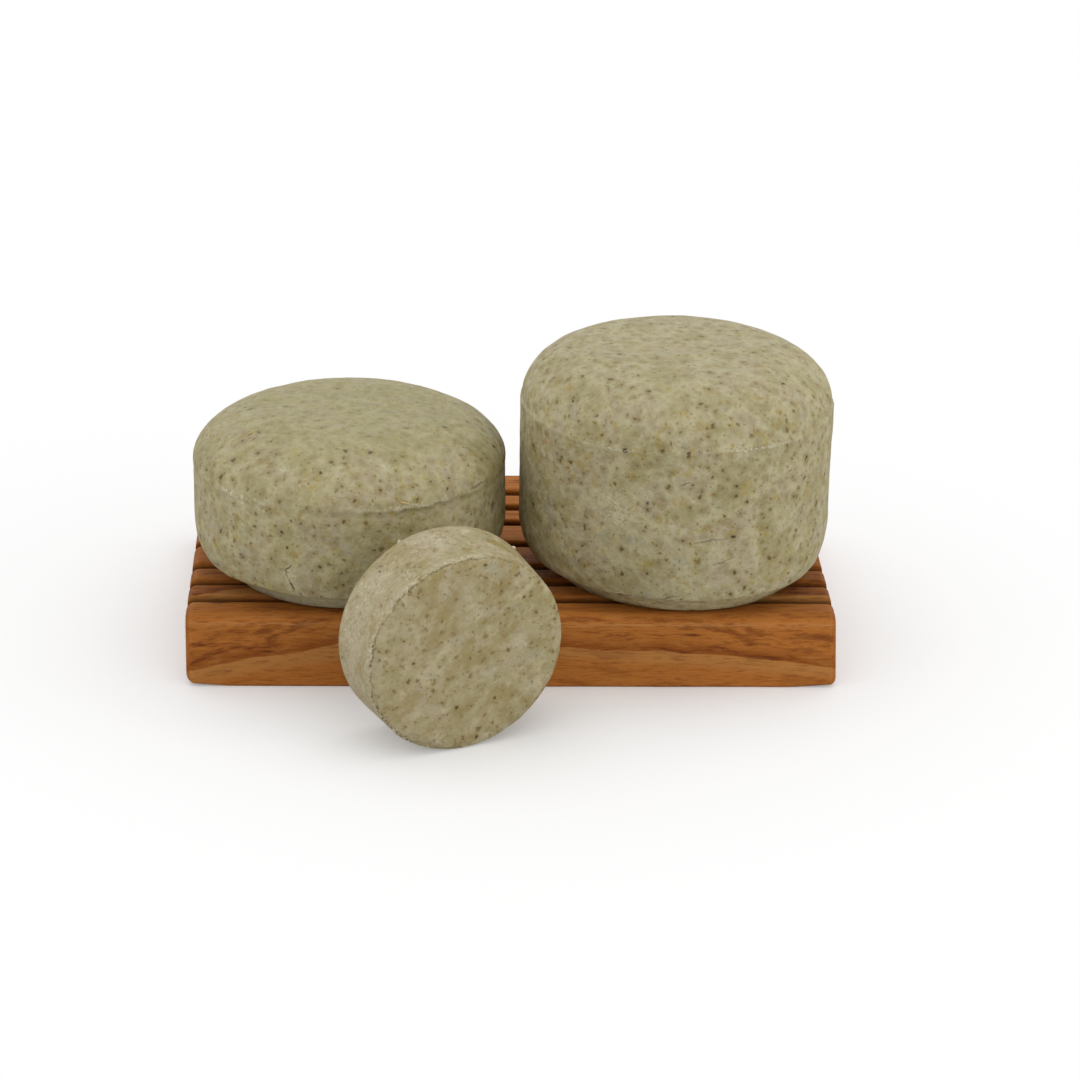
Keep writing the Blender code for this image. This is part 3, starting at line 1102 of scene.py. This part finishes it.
            push -= dent.depth * bell(form.distance(rest, dent), dent.reach)
        push *= smooth_step(rest[..., 2], 0.0, self.rest_band)
        # The foot's mark holds where painted shade greys it below the crease.
        return push, {"seam_offset": np.clip(beyond, -FAR_OFF, FAR_OFF), "seam_strength": strength,
                      "foot_shade_band": creased}

    def build(self) -> bpy.types.Object:
        """Build the puck's mesh, in place.

        A ring of points is turned from each point of the outline: radius times cosine, radius
        times sine, height. One point closes the top and one the base.

        Returns:
            The puck's object.
        """
        rings = self.form.rings(self.rows)
        outline, slope = self.form.read(rings), self.form.slope(rings, 2 * self.form.probe)
        angle, travel = np.meshgrid(np.linspace(0, 2 * np.pi, self.around, endpoint=False), rings)
        out = outward(angle)
        rest = outline[:, None, :1] * out + outline[:, None, 1:] * UP
        normals = -slope[:, None, 1:] * out + slope[:, None, :1] * UP
        push, marks = self.unevenness(rest, angle, travel)
        marks |= self.mark_cracks(rest) | self.mark_spots(rest)
        flat_radius = self.form.seam_radius - self.form.shoulder_run
        seam_travel = self.form.travel_at(self.form.seam_height)
        marks["top_skin"] = 1 - smooth_step(travel, flat_radius, seam_travel)
        points = rest + normals * push[..., None] + out * self.swell.reach(angle, outline)[..., None]
        closed = np.vstack([points.reshape(-1, 3), points[0].mean(axis=0), points[-1].mean(axis=0)])
        marks = {name: np.append(values, [values[0].mean(), values[-1].mean()])
                 for name, values in marks.items()}
        return link_mesh(f"{self.node}_soap", self.place_points(closed), self.faces(), marks)

    def faces(self) -> list[np.ndarray]:
        """Number the faces: quads between the rings, and a fan of triangles at each end.

        Returns:
            The quads and the triangles.
        """
        column = np.arange(self.around)
        after = (column + 1) % self.around
        last = (self.rows - 1) * self.around
        top = np.full_like(column, self.rows * self.around)
        fans = np.vstack([np.stack([top, column, after], axis=-1),
                          np.stack([top + 1, last + after, last + column], axis=-1)])
        return [tube_faces(self.rows, self.around), fans]

    def build_slivers(self) -> bpy.types.Object:
        """Build the chips that stick to the puck, as one mesh.

        A chip is a flattened tube along an arc: its half width is the square root of the sine
        of the way along, and its middle rises as that sine.

        Returns:
            The chips' object.
        """
        rows, around = SLIVER_ROWS, SLIVER_AROUND
        ways = np.linspace(SLIVER_TIP, 1 - SLIVER_TIP, rows)
        turns = np.linspace(0, 2 * np.pi, around, endpoint=False)
        way, turn = (grid[..., None] for grid in np.meshgrid(ways, turns, indexing="ij"))
        rise = np.sin(np.pi * way)
        column = np.arange(around)
        caps = np.stack([column[::-1], column + (rows - 1) * around])
        points, quads, ends = [], [], []
        for number, sliver in enumerate(self.slivers):
            (first, out), (last, out_last) = self.form.frame_at(sliver.start), self.form.frame_at(sliver.end)
            up = (out + out_last) / np.linalg.norm(out + out_last)
            aside = np.cross(up, (last - first) / np.linalg.norm(last - first))
            spine = first + way * (last - first) + up * sliver.proud * (sliver.arch * rise - sliver.sunk)
            across = np.cos(turn) * aside * sliver.width + np.sin(turn) * up * sliver.proud
            points.append((spine + np.sqrt(rise) * across / 2).reshape(-1, 3))
            quads.append(tube_faces(rows, around)[:, ::-1] + number * rows * around)
            ends.append(caps[:, ::-1] + number * rows * around)
        return link_mesh(f"{self.node}_slivers", self.place_points(np.vstack(points)),
                         [np.vstack(quads), np.vstack(ends)], {})

    def dress(self, puck: bpy.types.Object, slivers: bpy.types.Object) -> None:
        """Give the puck its soap and its chips their straw, and tie them to the body.

        Args:
            puck: the puck's object.
            slivers: the object of its chips.
        """
        for piece, finish in ((puck, self.finish), (slivers, self.sliver_finish)):
            piece.data.materials.append(finish.material())
            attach(piece, self.node)
        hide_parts(self.node)


@dataclass
class WoodenDish:
    """The grooved board: one section with its saw cuts, carried from end to end."""

    finish: WoodFinish  # the wood it is made of
    node: str = "dish"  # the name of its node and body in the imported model
    slot: str = "oiled_wood"  # the record's material slot
    front_rail: float = 0.0070  # width of the wood in front of the first saw cut
    # Widths of the ribs between the saw cuts, from front to back
    ribs: tuple[float, ...] = (0.0059, 0.0059, 0.0097, 0.0097, 0.0059, 0.0059)
    groove_width: float = 0.0036  # width of each saw cut
    groove_depth: float = 0.0080  # depth of each saw cut
    top_edge: float = 0.0024  # rounding of the long upper edges
    bottom_edge: float = 0.0006  # rounding of the long lower edges
    lip: float = 0.0006  # rounding of the saw cuts' edges
    floor_corner: float = 0.0003  # rounding of the saw cuts' floors
    left_ease: float = 0.0020  # rounding of the left end
    right_ease: float = 0.0015  # rounding of the right end
    ease_depth: float = 0.0045  # how far into the wood the ends' rounding is felt
    flare: float = 0.0019  # how far the right end's foot stands out
    slant: float = 0.0008  # how much less its top stands out
    flare_reach: float = 0.030  # over what length the wood widens to it
    rocker: float = 0.0006  # how far the underside rises at the ends
    rocker_reach: float = 0.011  # over what length it rises
    sanding: float = 0.00012  # how uneven sanding has left it
    sanded_in: float = 0.6  # how much of that lies in rather than out
    sanding_cell: float = 0.012  # the size of the waves that it left
    sanding_stretch: float = 0.7  # what X is multiplied by for those
    stain: float = 0.27  # how much darker its top is towards the ends
    darkening_start: float = 0.030  # how far along from the middle that starts
    darkening_full: float = 0.060  # how far along it is full
    darkening_low: float = 0.7  # how much of the upper edges' rounding lies above the darkening's fading
    darkening_high: float = 0.2  # how much of it lies above where the darkening is full
    cut_shade_start: float = 0.0004  # how deep in a saw cut the painted shade starts
    dark: float = 0.0018  # how deep the painted shade is darkest
    floor_slack: float = 0.001  # how far below the cuts' floors still counts as in a cut
    edge_sheen_width: float = 0.0005  # how wide the painted highlight on the front's upper edge is
    end_band: float = 0.0008  # how far end grain reaches in from the ends
    columns: int = 150  # how many sections there are between the ends' roundings
    end_columns: int = 10  # how many there are in each of those
    under_points: int = 30  # how many points the underside has across
    spacing: float = 0.0006  # how far apart points lie along the section at most
    seed: int = 5  # the seed of its unevenness
    low: Vector = field(init=False)  # the lowest corner of its solid
    high: Vector = field(init=False)  # the highest one

    def __post_init__(self) -> None:
        """Look up the corners of the dish's solid."""
        self.low, self.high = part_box(self.node)

    @staticmethod
    def arc(middle: Corner, radius: float, start: float, end: float, steps: int = 7) -> list[Corner]:
        """Return points on an arc in the section, between two angles in degrees from +Y."""
        angles = np.radians(np.linspace(start, end, steps))
        return [(middle[0] + radius * math.cos(a), middle[1] + radius * math.sin(a)) for a in angles]

    def groove(self, front: float) -> list[Corner]:
        """Trace one saw cut: over one lip, down, along the floor, up and over the other lip.

        Args:
            front: Y of the cut's front wall.

        Returns:
            Y and Z of the corner points.
        """
        back, top, lip, corner = front + self.groove_width, self.high.z, self.lip, self.floor_corner
        floor = top - self.groove_depth
        return [*self.arc((front - lip, top - lip), lip, 90, 0, 5),
                *self.arc((front + corner, floor + corner), corner, 180, 270, 3),
                *self.arc((back - corner, floor + corner), corner, 270, 360, 3),
                *self.arc((back + lip, top - lip), lip, 180, 90, 5)]

    def section(self) -> np.ndarray:
        """Trace the closed section, from the front's lower edge over the top to the back's.

        Returns:
            Y and Z of its points, no further apart than the spacing along the top.
        """
        over, under, low, high = self.top_edge, self.bottom_edge, self.low, self.high
        corners = self.arc((low.y + under, low.z + under), under, 270, 180, 5)
        corners += self.arc((low.y + over, high.z - over), over, 180, 90)
        front = low.y + self.front_rail
        for rib in (*self.ribs, 0.0):
            corners += self.groove(front)
            front += self.groove_width + rib
        corners += self.arc((high.y - over, high.z - over), over, 90, 0)
        corners = np.array(corners + self.arc((high.y - under, low.z + under), under, 0, -90, 5))
        travel = distance_along(corners)
        stops = np.unique(np.concatenate([travel, np.arange(0, travel[-1], self.spacing)]).round(6))
        upper = np.stack([np.interp(stops, travel, axis) for axis in corners.T], axis=-1)
        back_to_front = np.linspace(upper[-1], upper[0], self.under_points)[1:-1]
        return np.vstack([upper, back_to_front])

    def stations(self) -> np.ndarray:
        """Space the sections along the board: evenly, with more close together at each end.

        Returns:
            X of each section.
        """
        bend = 1 - np.cos(np.linspace(0, np.pi / 2, self.end_columns))
        left, right = self.low.x + self.left_ease * bend, self.high.x - self.right_ease * bend
        return np.concatenate([left, np.linspace(left[-1], right[-1], self.columns)[1:-1], right[::-1]])

    def mark_wood(self, section: np.ndarray, x: np.ndarray) -> Marks:
        """Mark the painted shade in the saw cuts, the darker top, the end grain and the painted highlight on
        the front edge.

        Depth in a cut gives the painted shade and distance from the middle the darker top, both by
        smooth steps; a bell curve gives the painted highlight, partly real rubbing, on the edge
        where the front meets its rounding.

        Args:
            section: Y and Z of the section's points.
            x: X of each section.

        Returns:
            The marks of the painted shade in the cuts with the darker top, of the end grain, and of the
            edge's painted highlight.
        """
        low, high, across, depth = self.low, self.high, section[:, 0], self.high.z - section[:, 1]
        cut_shade = (across > low.y + self.front_rail / 2) & (across < high.y - self.front_rail)
        cut_shade = cut_shade & (depth < self.groove_depth + self.floor_slack)
        # The top grows darker towards the ends.
        top = smooth_step(-depth, -self.darkening_low * self.top_edge, -self.darkening_high * self.top_edge)
        darker_top = self.stain * top * smooth_step(np.abs(x), self.darkening_start, self.darkening_full)[:, None]
        inside = ((x > low.x) & (x < high.x))[:, None]
        at_end = np.minimum(x - low.x, high.x - x)[:, None] < self.end_band
        # A painted highlight, partly real rubbing, along the edge where the front meets its rounding.
        edge = np.array([low.y, high.z - self.top_edge])
        sheen_and_wear = bell(np.linalg.norm(section - edge, axis=1), self.edge_sheen_width)
        size = (len(x), len(section))
        # Painted shade grows down into the cuts; the top is darker towards the ends.
        shade_and_darker_top = np.maximum(smooth_step(depth, self.cut_shade_start, self.dark) * cut_shade, darker_top)
        return {"cut_shade": shade_and_darker_top * inside, "end_grain": np.broadcast_to(at_end, size),
                "edge_sheen_and_wear": np.broadcast_to(sheen_and_wear, size)}

    def ease_ends(self, points: np.ndarray) -> None:
        """Round the ends in place.

        Towards an end, the outer faces draw in by radius minus the root of radius squared
        minus depth squared, where depth is how far into the rounding the section lies. The
        push fades to nothing a few millimetres inside the wood.

        Args:
            points: the board's points.
        """
        low, high, felt = self.low, self.high, self.ease_depth
        x, y, z = (points[..., axis].copy() for axis in range(3))
        drawn = np.zeros_like(x)
        for ease, inside in ((self.left_ease, x - low.x), (self.right_ease, high.x - x)):
            depth = np.clip(ease - inside, 0, ease)
            drawn += ease - np.sqrt(ease ** 2 - depth ** 2)
        points[..., 2] -= drawn * smooth_step(z, high.z - felt, high.z)
        points[..., 2] += drawn * (1 - smooth_step(z, low.z, low.z + felt))
        points[..., 1] += drawn * (1 - smooth_step(y, low.y, low.y + felt))
        points[..., 1] -= drawn * smooth_step(y, high.y - felt, high.y)

    def build(self) -> bpy.types.Object:
        """Build the dish's mesh, in place.

        The section is carried along X. Then the ends are eased, the underside rises at the
        ends, the right end slants out towards its foot, and sanding leaves it slightly wavy.

        Returns:
            The dish's object.
        """
        low, high = self.low, self.high
        section, x = self.section(), self.stations()
        around = len(section)
        points = np.empty((len(x), around, 3))
        points[..., 0], points[..., 1:] = x[:, None], section[None]
        noisy = points * np.array([self.sanding_stretch, 1, 1])
        wave = self.sanding * (layered_noise(noisy, self.sanding_cell, 3, self.seed) - self.sanded_in)
        self.ease_ends(points)
        near = np.minimum(points[..., 0] - low.x, high.x - points[..., 0])
        rise = self.rocker * (1 - smooth_step(near, 0, self.rocker_reach))
        points[..., 2] += rise * (1 - smooth_step(points[..., 2], low.z, low.z + self.ease_depth))
        slanted = self.flare - self.slant * (points[..., 2] - low.z) / (high.z - low.z)
        points[..., 0] += slanted * smooth_step(points[..., 0], high.x - self.flare_reach, high.x)
        middle = (low + high) / 2
        points[..., 1] += wave * np.sign(points[..., 1] - middle.y)
        points[..., 2] += wave * smooth_step(points[..., 2], middle.z, high.z)
        left = np.arange(around)[None]
        right = left[:, ::-1] + (len(x) - 1) * around
        return link_mesh("dish_board", points.reshape(-1, 3), [tube_faces(len(x), around), left, right],
                         self.mark_wood(section, x))

    def dress(self, dish: bpy.types.Object) -> None:
        """Give the dish its wood, tie it to its body and hide its solid in the imported model.

        Args:
            dish: the dish's object.
        """
        dish.data.materials.append(self.finish.material())
        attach(dish, self.node)
        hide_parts(self.node)


@dataclass(frozen=True)
class Softbox:
    """A square soft light that faces the set."""

    name: str  # the light's name
    place: Triple  # where it hangs
    side: float  # its side
    power: float  # its power in watts
    aim: Triple = (0.0, 0.0, 0.03)  # what it faces

    def hang(self) -> None:
        """Hang the light and turn it to what it faces, with its back along the way from there."""
        lamp = bpy.data.lights.new(self.name, "AREA")
        lamp.size, lamp.energy = self.side, self.power
        light = link_object(self.name, lamp)
        light.location = self.place
        away = Vector(self.place) - Vector(self.aim)
        light.rotation_euler = away.to_track_quat("Z", "Y").to_euler()


@dataclass
class Studio:
    """Plain pale floor, soft lights and the camera."""

    eye: Triple = (-0.0233, -0.7518, 0.3259)  # where the camera stands
    heading: float = 2.402  # how far the camera is turned to the right of straight ahead, in degrees
    down: float = 22.287  # how far it looks down, in degrees
    roll: float = 1.136  # how far it is rolled to its left, in degrees
    focal_length: float = 117.5  # the lens, in millimetres on the sensor
    sensor: float = 36.0  # the sensor's width, in millimetres
    floor_side: float = 6.0  # the floor's side
    sky: float = 0.87  # the strength of the even light from all round
    # The soft lights
    softboxes: tuple[Softbox, ...] = (
        Softbox("top_softbox", (0.0, 0.0, 1.0), 1.0, 1.6),
        Softbox("right_softbox", (1.1, -0.5, 0.25), 0.5, 3.1),
        Softbox("left_softbox", (-1.1, -0.5, 0.25), 0.5, 1.5),
    )

    def place_camera(self) -> None:
        """Stand the camera up and point it: rolled, tipped down, then turned."""
        lens = bpy.data.cameras.new("studio_camera")
        lens.lens, lens.sensor_width = self.focal_length, self.sensor
        camera = link_object("studio_camera", lens)
        camera.matrix_world = Matrix.Translation(self.eye)
        for degrees, axis in ((-self.heading, "Z"), (90 - self.down, "X"), (self.roll, "Z")):
            camera.matrix_world @= Matrix.Rotation(math.radians(degrees), 4, axis)
        bpy.context.scene.camera = camera

    def lay_floor(self) -> None:
        """Lay the pale floor under the set."""
        corners = self.floor_side / 2 * np.array([(-1, -1, 0), (1, -1, 0), (1, 1, 0), (-1, 1, 0)])
        floor = link_mesh("studio_floor", corners, [np.array([[0, 1, 2, 3]])], {})
        floor.data.materials.append(FloorFinish("pale_floor").material())

    def light_sky(self) -> None:
        """Surround the set with even light, which the camera and mirrors see as white."""
        world = bpy.data.worlds.new("studio_sky")
        bpy.context.scene.world = world
        graph = NodeGraph(world, "Background")
        ray = graph.add("LightPath", {}).outputs
        seen = graph.math("MAXIMUM", ray["Is Camera Ray"], ray["Is Glossy Ray"])
        strength = graph.add("MapRange", {"Value": seen, "To Min": self.sky}).outputs["Result"]
        graph.feed(graph.shader, {"Color": WHITE, "Strength": strength})

    def build(self) -> None:
        """Set up the whole studio, with colours shown as they are written."""
        bpy.context.scene.view_settings.view_transform = "Standard"
        self.place_camera()
        self.lay_floor()
        self.light_sky()
        for softbox in self.softboxes:
            softbox.hang()


def large_form(height: float, seam_height: float, shoulder_run: float) -> PuckForm:
    """Describe a puck from the large mould by its height, its seam's and its shoulder's run inwards."""
    return PuckForm(seam_radius=0.0350, foot_radius=0.0350, height=height, seam_height=seam_height,
                    shoulder_run=shoulder_run, foot_run=0.0108, foot_rise=0.0136,
                    crease_height=0.0048, base_radius=0.0256, softening=0.00035)


def dents_round(first: int, last: int, apart: int, travel: float, reach: float, depth: float) -> list[Dent]:
    """Return dents at one height, from one angle up to another, so many degrees apart."""
    return [Dent(angle, travel, reach, depth) for angle in range(first, last, apart)]


def tall_puck() -> SoapPuck:
    """Describe the tall puck and what marks it.

    Returns:
        The puck.
    """
    at = SurfacePlace
    return SoapPuck(
        "tall_puck", "soap", large_form(0.0524, 0.0399, 0.0180),
        SoapFinish("speckled_soap_tall", body=rgb(178, 170, 136), seam_shade=0.35),
        seam=MouldSeam(ridge=0.00032, width=0.00060, step=0.00055, step_facing=-55.0, step_spread=60,
                       step_least=0.75, edge=0.0008, fade=0.004, side=-1, facing=(-118.0, -64.0),
                       spread=12, least=0.18, broken=0.4, wander=0.0006),
        seed=3, crease_step=0.0002, swell=FootSwell(facing=-55, spread=50, amount=0.0023, height=0.012),
        cracks=(Crack(at(-119, 0.0765), at(-108, 0.0760), 1.2, 0.9),
                Crack(at(-102, 0.0768), at(-90, 0.0750), 1.0, 0.7),
                Crack(at(-88, 0.0618), at(-74, 0.0612), 1.1, 0.5),
                Crack(at(-81, 0.0675), at(-70, 0.0655), 1.0, 0.4),
                Crack(at(-93, 0.0488), at(-88, 0.0478), 1.1, 0.6)),
        herbs=(Herb(-88, 0.0620, 0.0004), Herb(-106, 0.0428, 0.0003), Herb(-116, 0.0495, 0.0004),
               Herb(-117.5, 0.0497, 0.0002), Herb(-106, 0.0568, 0.0002), Herb(-65, 0.0510, 0.0003),
               Herb(-135, 0.0432, 0.0003), Herb(-128, 0.0450, 0.0002), Herb(-122, 0.0390, 0.0003),
               Herb(-74, 0.0352, 0.0002), Herb(-48, 0.0705, 0.0002), Herb(-48.5, 0.0720, 0.0002),
               Herb(-51, 0.0735, 0.0002), Herb(-76, 0.0558, 0.0003), Herb(-94, 0.0068, 0.0002),
               Herb(-118, 0.0212, 0.0002), Herb(-138, 0.0368, 0.0002), Herb(-136, 0.0485, 0.0002),
               Herb(-86, 0.0660, 0.0002), Herb(-86, 0.0690, 0.0002)),
        dents=(Dent(-104, 0.0518, 0.0007, 0.0002), Dent(-94, 0.0578, 0.0007, 0.0002),
               Dent(-73, 0.0608, 0.0008, 0.0002), Dent(-125, 0.0600, 0.006, 0.0003),
               Dent(-80, 0.0500, 0.007, 0.0002),
               *dents_round(-154, -124, 5, 0.0412, 0.0018, -0.00024),
               *dents_round(-74, -40, 5, 0.0414, 0.0018, -0.00024),
               *dents_round(-154, -124, 6, 0.0384, 0.0024, 0.00016),
               *dents_round(-74, -40, 6, 0.0384, 0.0024, 0.00018)),
        chalk=(ChalkPatch(-116, 0.0550, 0.0050), ChalkPatch(-70, 0.0415, 0.0022),
               ChalkPatch(-104, 0.0515, 0.0016), ChalkPatch(-94, 0.0578, 0.0013)),
        slivers=(Sliver(at(-76, 0.0792), at(-72, 0.0775), width=0.0004),))


def short_puck() -> SoapPuck:
    """Describe the short puck and what marks it.

    Returns:
        The puck.
    """
    at = SurfacePlace
    return SoapPuck(
        "short_puck", "soap", large_form(0.0372, 0.0259, 0.0215),
        SoapFinish("speckled_soap_short", shift=0.43, body=rgb(176, 168, 131), crumb_width=0.0010,
                   foot_shade=0.40, skin=rgb(153, 148, 107), skin_share=0.38),
        seam=MouldSeam(ridge=0.00018, width=0.00050, step=0.00060, step_facing=-58.0, step_spread=26,
                       step_least=0.25, edge=0.0014, facing=(-137.0, -64.0), spread=15, least=0.08,
                       ragged=0.0008),
        seed=8, rows=185, crease_step=0.0005,
        swell=FootSwell(facing=-105, spread=60, amount=0.0009, height=0.011),
        cracks=(Crack(at(-113.5, 0.0545), at(-110.5, 0.0525), 1.0, 0.9),
                Crack(at(-113.7, 0.0543), at(-111.5, 0.0568), 0.7, 0.6),
                Crack(at(-111.5, 0.0565), at(-110.5, 0.0602), 1.4, 1.0),
                Crack(at(-41, 0.0392), at(-31, 0.0385), 1.0, 0.6),
                Crack(at(-108.5, 0.0600), at(-106.5, 0.0622), 1.6, 0.6),
                Crack(at(-96, 0.0368), at(-89, 0.0362), 0.7, 0.3)),
        herbs=(Herb(-91, 0.0420, 0.0004), Herb(-64, 0.0380, 0.0003), Herb(-127, 0.0500, 0.0003),
               Herb(-112, 0.0490, 0.0003), Herb(-96, 0.0370, 0.0002), Herb(-102, 0.0325, 0.0002),
               Herb(-72, 0.0370, 0.0002), Herb(-140, 0.0280, 0.0002), Herb(-114, 0.0268, 0.0002),
               Herb(-100, 0.0565, 0.0002)),
        dents=(Dent(-155, 0.0580, 0.011, -0.0003), Dent(-93, 0.0298, 0.0010, 0.00030),
               Dent(-94, 0.0400, 0.0012, 0.00020)),
        chalk=(ChalkPatch(-112, 0.0555, 0.0018), ChalkPatch(-138, 0.0400, 0.0016),
               ChalkPatch(-131, 0.0404, 0.0020), ChalkPatch(-122, 0.0408, 0.0015),
               ChalkPatch(-117, 0.0312, 0.0013), ChalkPatch(-93, 0.0290, 0.0010),
               ChalkPatch(-74, 0.0292, 0.0012)),
        slivers=(Sliver(at(-151, 0.0262), at(-152, 0.0235)), Sliver(at(-71, 0.0380), at(-67.5, 0.0388))))


def sample_puck() -> SoapPuck:
    """Describe the sample puck, whose face dips by its wall's taper, and what marks it.

    Returns:
        The puck.
    """
    at = SurfacePlace
    taper = math.radians(3.0)
    seam_radius, seam_height, foot_rise = 0.0224, 0.0181, 0.0044
    form = PuckForm(seam_radius=seam_radius, height=0.0190, seam_height=seam_height,
                    foot_radius=seam_radius + (seam_height - foot_rise) * math.tan(taper),
                    shoulder_run=0.0040, foot_run=0.0044, foot_rise=foot_rise,
                    crease_height=0.0008, base_radius=0.0200)
    flecks = tuple(replace(layer, light=rgb(134, 112, 60), dark=rgb(72, 52, 24))
                   for layer in SoapFinish.layers[:3])
    finish = SoapFinish("speckled_soap_sample", shift=0.87, layers=flecks, body=rgb(172, 161, 127),
                        pale=rgb(187, 176, 143), olive=rgb(150, 141, 98), ochre=rgb(148, 131, 82),
                        dried=rgb(186, 175, 151), shadow=rgb(92, 70, 42), herb=rgb(66, 40, 24),
                        seam_shade=0.90, crumb_width=0.0015, dryness=0.70, crowding=0.66,
                        fleck_size=1.22, streaks=0.85)
    return SoapPuck(
        "sample_puck", "sample_soap", form, finish, stance=PuckStance.ON_WALL,
        turn=math.radians(24.0), dip=taper, seed=14, rows=200, around=440, lumps=0.00022,
        seam=MouldSeam(ridge=0.00022, width=0.0005, step=0.00038, edge=0.0003, fade=0.0012, side=-1,
                       facing=(100.0, 135.0, 170.0, -155.0, -132.0), spread=22, least=0.08,
                       broken=0.35, wander=0.0004, ragged=0.0006),
        sliver_finish=StrawFinish("dry_soap", tan=rgb(186, 178, 152), cream=rgb(212, 206, 184)),
        herbs=(Herb(142, 0.0175, 0.0003), Herb(81, 0.0208, 0.0003), Herb(42, 0.0170, 0.0003),
               Herb(39, 0.0180, 0.0003), Herb(-101, 0.0120, 0.0004), Herb(-82, 0.0202, 0.0004),
               Herb(-69, 0.0212, 0.0002), Herb(178, 0.0125, 0.0002), Herb(158, 0.0162, 0.0001),
               Herb(167, 0.0208, 0.0002), Herb(82, 0.0052, 0.0001), Herb(63, 0.0082, 0.0002),
               Herb(-150, 0.0185, 0.0002), Herb(-143, 0.0158, 0.0002), Herb(-127, 0.0092, 0.0002),
               Herb(-60, 0.0130, 0.0002), Herb(-135, 0.0202, 0.0002)),
        dents=(Dent(60, 0.0070, 0.006, 0.00015), Dent(-160, 0.0100, 0.007, 0.00015)),
        chalk=(ChalkPatch(6, 0.0122, 0.0022), ChalkPatch(-110, 0.0205, 0.0030),
               ChalkPatch(124, 0.0270, 0.0030), ChalkPatch(98, 0.0330, 0.0065),
               *(ChalkPatch(angle, 0.0325, 0.0085) for angle in range(145, 250, 25))),
        slivers=(Sliver(at(45, 0.0362), at(41, 0.0368), width=0.0006, proud=0.0006),
                 Sliver(at(115, 0.0385), at(112, 0.0390), width=0.0006, proud=0.0006)))


def main() -> None:
    """Build the studio, the dish and the pucks, and report each piece."""
    logging.basicConfig(level=logging.INFO, format="%(name)s: %(message)s")
    Studio().build()
    dish = WoodenDish(WoodFinish("oiled_wood"))
    board = dish.build()
    dish.dress(board)
    LOG.info("%s has %d faces", board.name, len(board.data.polygons))
    for puck in (tall_puck(), short_puck(), sample_puck()):
        body, slivers = puck.build(), puck.build_slivers()
        puck.dress(body, slivers)
        LOG.info("%s stands %s and has %d faces", body.name, puck.stance.value, len(body.data.polygons))


if __name__ == "__main__":
    main()
